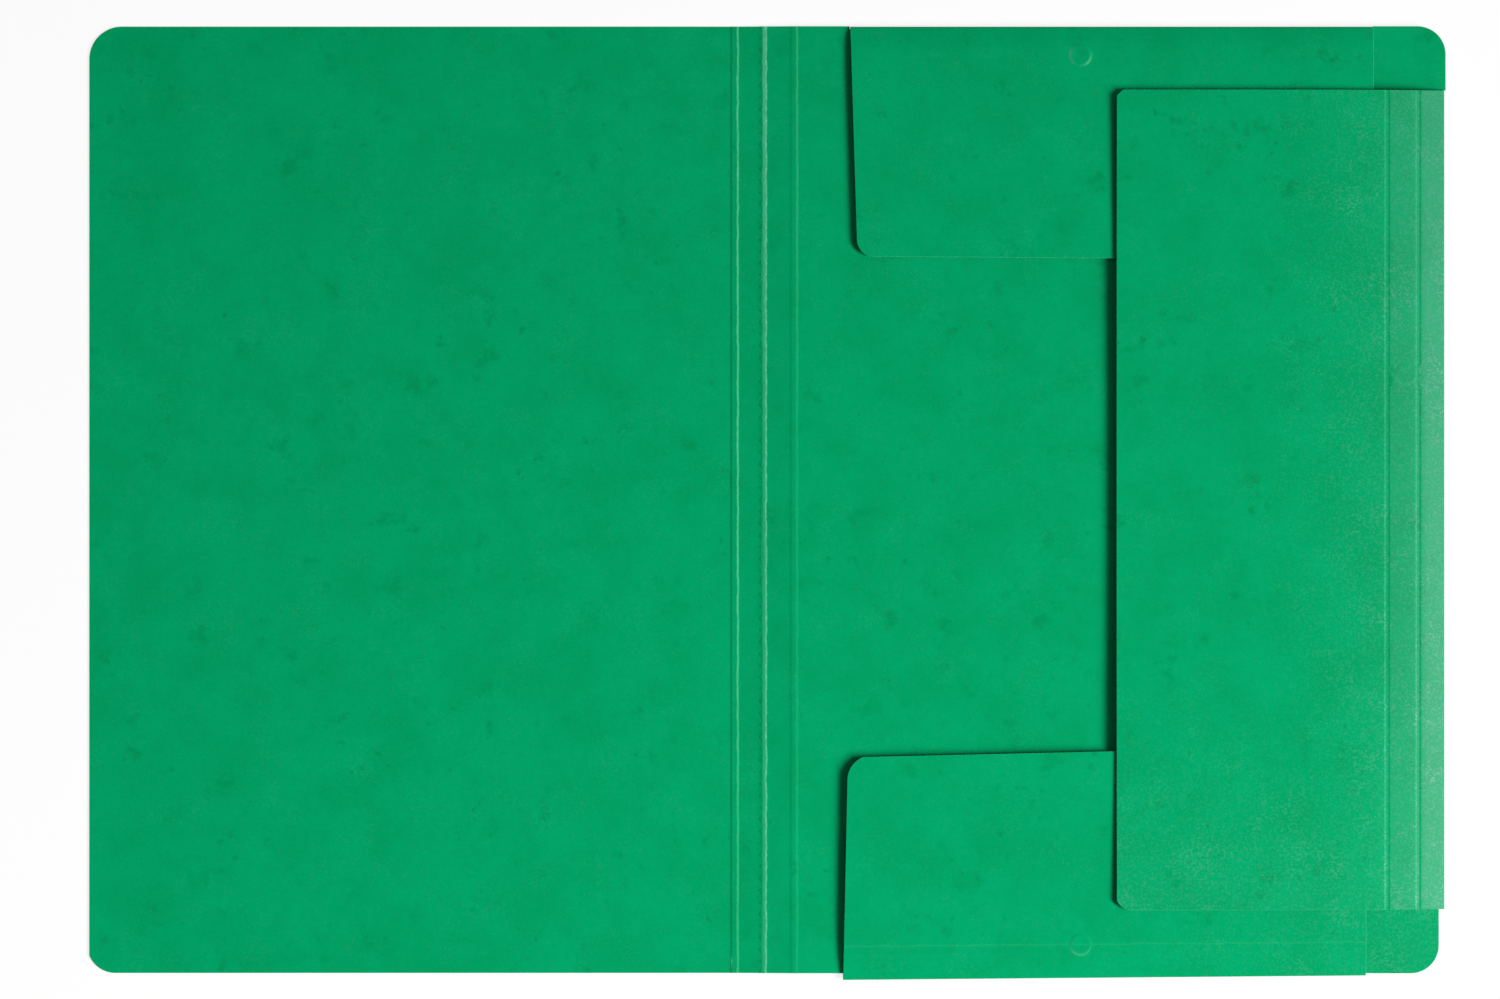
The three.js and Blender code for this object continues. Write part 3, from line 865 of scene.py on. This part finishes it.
def side_place(x, y):
    """Where the middle of the side flap lies, from its seam on the back cover round its fold."""
    past = x - fold_start
    angle = np.clip(past / fold_radius, 0, np.pi)
    depth = np.maximum(past - math.pi * fold_radius, 0) + fold_outer
    level = flap_level + flap_end_lift * (y / side_flap_half) ** 2
    reach = flap_reach * (1 + 1.3 * (y / side_flap_half) ** 2)
    sprung = 2 * fold_radius + (level - 2 * fold_radius) * (
        1 - np.exp(-(depth - fold_outer) / reach))
    grooves = 0.5 * sum(bead(groove_narrowing * (depth - crease)) for crease in flap_creases)
    on_leg, on_round = past <= 0, past < math.pi * fold_radius
    px = np.where(on_round, fold_start + fold_radius * np.sin(angle), fore_edge - depth)
    px = np.where(on_leg, x, px)
    z = np.where(on_round, lift + thickness / 2 + fold_radius * (1 - np.cos(angle)),
                 board_top + sprung - thickness / 2 - grooves)
    z = z + np.where(on_round, 0, imprint(px, y, eyelet_spots["eyelet_upper_side"], 0.7))
    return np.column_stack((px, y, z))


def side_marks(x, y, height):
    """The side flap's marks: its grooves' rubbed edges, partly painted highlight on their lit
    walls, an imprint, and the burnished strips, which also carry a painted sheen, with less of it
    as painted shade on the grooves' shaded walls.
    """
    past = x - fold_start
    depth = np.maximum(past - math.pi * fold_radius, 0) + fold_outer
    off = np.where(depth < sum(flap_creases) / 2, depth - flap_creases[0], depth - flap_creases[1])
    off = groove_narrowing * off
    # Painted shade: each groove's wall that faces away from the lamp gets less burnish and painted
    # sheen.
    shaded_groove_wall = np.exp(-(((off + 1.1 * MM) / (0.5 * MM)) ** 2))
    shown = (height < 0) & (past > 0) & (np.abs(off) < crease_mark_reach)
    spot = eyelet_spots["eyelet_upper_side"]
    rims = imprint_wear(fore_edge - depth, y, spot, (-135, 45, 0.5)) * (past > 0)
    off = np.where(rims > least_rim, haze_middle * MM, off)
    across = np.clip((75 * MM - depth) / (60 * MM), 0, 1)
    low = np.clip((-60 * MM - y) / (90 * MM), 0, 1)
    # Burnished strips near the fold and towards the tail: glossier glaze and a painted sheen.
    burnish_and_sheen = np.maximum(0.5 * across**2, 0.38 * low)
    burnish_and_sheen = np.where(depth < flap_creases[1], 0.75, burnish_and_sheen)
    burnish_and_sheen = np.where(depth < flap_creases[0], 1.0, burnish_and_sheen)
    # Painted shade: the groove walls that face away from the lamp lose most of their burnish and
    # sheen.
    burnish_and_sheen = burnish_and_sheen * (1 - 0.85 * shaded_groove_wall)
    # The grooves' pale lines lie on their lit walls: partly rubbed wear, partly painted highlight.
    return {"off": near_crease(off), "wear_and_highlight": 0.16 * shown, "haze": rims,
            "burnish_and_sheen": burnish_and_sheen * (height < 0) * np.clip(past / (math.pi * fold_radius), 0, 1)}


on_fold = fold_start + np.linspace(0, math.pi * fold_radius, 9)
flap_xs = stations_of(fold_outer, flap_depth, list(flap_creases), station_step)
flap_xs = flap_xs - fold_outer + fold_start + math.pi * fold_radius
side_xs = np.concatenate(
    ([side_seam + station_step, side_seam + 2 * station_step], on_fold, flap_xs))
far_x = fold_start + math.pi * fold_radius + flap_depth - fold_outer
chamfer = 2 * MM
flap_corner = 5.75 * MM
side_outline = outline_of([
    (side_seam, -side_flap_half),
    (far_x, -side_flap_half, flap_corner, corner_trim, True),
    (far_x, side_flap_half - chamfer),
    (far_x - chamfer, side_flap_half),
    (side_seam, side_flap_half),
], cuts=side_xs)
side_parts = [grid(side_xs, stations_of(-side_flap_half, side_flap_half, [], station_step))]
spot = eyelet_spots["eyelet_upper_side"]
flat_x = fold_start + math.pi * fold_radius + (fore_edge - spot.x) - fold_outer
side_parts.append(imprint_stations((flat_x, spot.y)))
side_flap_board = sheet_mesh(
    "side_flap_board", [side_outline], np.concatenate(side_parts),
    lambda p: p[:, 0] < side_seam + seam_tolerance,
    shaped(side_place), thickness, round_over, side_marks)
side_flap_board.data.materials.append(pressboard)
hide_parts("side_flap")
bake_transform(side_flap_board)

# Corner elastics: flat bands woven over rubber threads, one across each fore-edge corner of the
# back cover's outer side. An eyelet pierces each end.
band_width = 8 * MM
band_past_eyelet = 5 * MM
band_low, band_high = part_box("elastic_upper")
band_middle = (band_low.z + band_high.z) / 2
band_thickness = 0.62 * MM
band_corner = 1.2 * MM
rib_pitch = band_width / 7
rib_height = 0.04 * MM
weave_pitch = 0.8 * MM
weave_height = 0.05 * MM
elastic_green = (0.002, 0.205, 0.075, 1)
elastic_shade = (0.001, 0.110, 0.038, 1)

woven, tree, shader = new_material("woven_elastic")
at = attribute(tree, "blank").outputs["Vector"]
ply = tree.nodes.new("ShaderNodeTexWave")
ply.bands_direction = "X"
ply.inputs["Scale"].default_value = 1 / (weave_pitch * 3.2)
ply.inputs["Distortion"].default_value = 1.2
ply.inputs["Detail"].default_value = 2
tree.links.new(at, ply.inputs["Vector"])
fuzz = noise(tree, at, 0.35 * MM, 4.0, 0.7)
shade = reckon(tree, "MULTIPLY", ply.outputs["Fac"], fuzz)
tree.links.new(tint(tree, shade, elastic_green, elastic_shade), shader.inputs["Base Color"])
shader.inputs["Roughness"].default_value = 0.85
shader.inputs["Specular IOR Level"].default_value = 0.15
shader.inputs["Sheen Weight"].default_value = 0.08
roughen(tree, shader, shade, 0.6, 0.06 * MM)


def make_elastic(corner):
    """One band from eyelet to eyelet, ribbed along its length and woven across it."""
    begin = eyelet_spots[f"eyelet_{corner}_edge"]
    finish = eyelet_spots[f"eyelet_{corner}_side"]
    run = Vector((finish.x - begin.x, finish.y - begin.y))
    along = run.normalized()
    length = run.length
    sideways = Vector((-along.y, along.x))

    def place(s, w):
        ribs = rib_height * np.cos(2 * np.pi * w / rib_pitch)
        weave = weave_height * np.cos(2 * np.pi * s / weave_pitch)
        px = begin.x + along.x * s + sideways.x * w
        py = begin.y + along.y * s + sideways.y * w
        return np.column_stack((px, py, band_middle + ribs + weave))

    half = band_width / 2
    outline = outline_of([
        (-band_past_eyelet, -half, band_corner),
        (length + band_past_eyelet, -half, band_corner),
        (length + band_past_eyelet, half, band_corner),
        (-band_past_eyelet, half, band_corner),
    ], weave_pitch / 2)
    holes = [np.array(arc_points((s, 0), eyelet_hole, 0, 2 * math.pi)[:-1]) for s in (0, length)]
    stations = grid(np.arange(-band_past_eyelet, length + band_past_eyelet, weave_pitch / 4),
                    np.arange(-half, half, rib_pitch / 4))
    band = sheet_mesh(
        f"elastic_band_{corner}", [outline, *holes], stations, lambda p: np.zeros(len(p), bool),
        shaped(place), band_thickness, 0.2 * MM, lambda x, y, height: {})
    band.data.materials.append(woven)
    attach(band, "back")
    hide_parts(f"elastic_{corner}")


make_elastic("upper")
make_elastic("lower")

# Eyelets: nickelled brass tubes with a domed flange inside and a rolled rim outside. Each one
# clamps the band's end to the board.
nickel, tree, shader = new_material("nickelled_brass")
position = tree.nodes.new("ShaderNodeTexCoord")
tarnish = remap(tree, noise(tree, position.outputs["Object"], 1.5 * MM, 4.0, 0.6), 0.35, 0.75)
tree.links.new(tint(tree, tarnish, (0.66, 0.65, 0.62, 1), (0.45, 0.43, 0.39, 1)),
               shader.inputs["Base Color"])
tree.links.new(remap(tree, tarnish, 0, 1, 0.24, 0.42), shader.inputs["Roughness"])
shader.inputs["Metallic"].default_value = 1.0

bore = 1.5 * MM
barrel = 1.9 * MM
flange = 3.55 * MM
rim = 3.2 * MM
rim_height = 0.4 * MM
roll = 0.5 * MM
rim_round = 0.4 * MM
flange_round = 0.3 * MM
mouth_round = 0.6 * MM
flange_top = board_top + flange_round
turns = 48


def part_round(centre, radii, start, end, count=6):
    """Points along part of an ellipse in the section of an eyelet."""
    return [(centre[0] + radii[0] * math.cos(a), centre[1] + radii[1] * math.sin(a))
            for a in np.linspace(start, end, count)]


for name, spot in eyelet_spots.items():
    profile = [(bore, rim_height)]
    profile += part_round((bore + roll, rim_height), (roll, rim_height), math.pi, 1.5 * math.pi)
    profile += part_round(
        (rim - rim_round, rim_height), (rim_round, rim_height), -0.5 * math.pi, 0)
    profile += [(barrel, rim_height), (barrel, board_top), (flange - 0.1 * MM, board_top)]
    profile += part_round(
        (flange - flange_round, board_top), (flange_round, flange_round), 0, 0.5 * math.pi)
    profile += part_round((bore + mouth_round, flange_top - mouth_round),
                          (mouth_round, mouth_round), 0.5 * math.pi, math.pi)
    points = []
    for i in range(turns):
        angle = 2 * math.pi * i / turns
        points += [(spot.x + r * math.cos(angle), spot.y + r * math.sin(angle), z)
                   for r, z in profile]
    size = len(profile)
    faces = []
    for i in range(turns):
        after = (i + 1) % turns
        for j in range(size):
            k = (j + 1) % size
            faces.append((i * size + j, after * size + j, after * size + k, i * size + k))
    mesh = bpy.data.meshes.new(f"{name}_turned")
    mesh.from_pydata(points, [], faces)
    mesh.update()
    mesh.polygons.foreach_set("use_smooth", np.ones(len(mesh.polygons), bool))
    mesh.set_sharp_from_angle(angle=math.radians(50))
    mesh.materials.append(nickel)
    eyelet = bpy.data.objects.new(f"{name}_turned", mesh)
    scene.collection.objects.link(eyelet)
    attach(eyelet, "back")
    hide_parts(name)

# Floor and light: a plain white table, one soft lamp from the fore-edge side and a little from
# the tail, and a weak even fill. Only camera, gloss and glass see the surroundings as white.
floor_mesh = bpy.data.meshes.new("table_top")
floor_half = 6.0
floor_mesh.from_pydata(
    [(-floor_half, -floor_half, 0), (floor_half, -floor_half, 0),
     (floor_half, floor_half, 0), (-floor_half, floor_half, 0)],
    [], [(0, 1, 2, 3)])
floor = bpy.data.objects.new("table_top", floor_mesh)
floor.location.z = -0.02 * MM
scene.collection.objects.link(floor)


def seen_directly(tree):
    """1 where a surface is seen by the camera, in gloss or through glass, and 0 where it lights."""
    rays = tree.nodes.new("ShaderNodeLightPath").outputs
    shown = reckon(tree, "MAXIMUM", rays["Is Camera Ray"], rays["Is Glossy Ray"])
    return reckon(tree, "MAXIMUM", shown, rays["Is Transmission Ray"])


white, tree, shader = new_material("white_table")
shader.inputs["Base Color"].default_value = (0.95, 0.95, 0.95, 1)
shader.inputs["Roughness"].default_value = 1.0
shader.inputs["Specular IOR Level"].default_value = 0.0
plain = tree.nodes.new("ShaderNodeEmission")
plain.inputs["Strength"].default_value = 1.0
mix = tree.nodes.new("ShaderNodeMixShader")
tree.links.new(reckon(tree, "MULTIPLY", seen_directly(tree), 0.8), mix.inputs["Fac"])
tree.links.new(shader.outputs["BSDF"], mix.inputs[1])
tree.links.new(plain.outputs["Emission"], mix.inputs[2])
tree.links.new(mix.outputs["Shader"], tree.nodes["Material Output"].inputs["Surface"])
floor_mesh.materials.append(white)

world = bpy.data.worlds.new("even_fill")
world.use_nodes = True
scene.world = world
tree = world.node_tree
fill = tree.nodes["Background"]
fill.inputs["Color"].default_value = (1, 1, 1, 1)
tree.links.new(remap(tree, seen_directly(tree), 0, 1, 0.16, 1.0), fill.inputs["Strength"])

lamp = bpy.data.lights.new("soft_lamp", "AREA")
lamp.shape = "RECTANGLE"
lamp.size = 2.0
lamp.size_y = 0.85
lamp.energy = 167
soft_lamp = bpy.data.objects.new("soft_lamp", lamp)
soft_lamp.location = (1.85, -0.80, 1.47)
soft_lamp.rotation_euler = Vector((-1.0, -0.85, -0.25)).to_track_quat("-Z", "Y").to_euler()
scene.collection.objects.link(soft_lamp)

scene.view_settings.view_transform = "Standard"
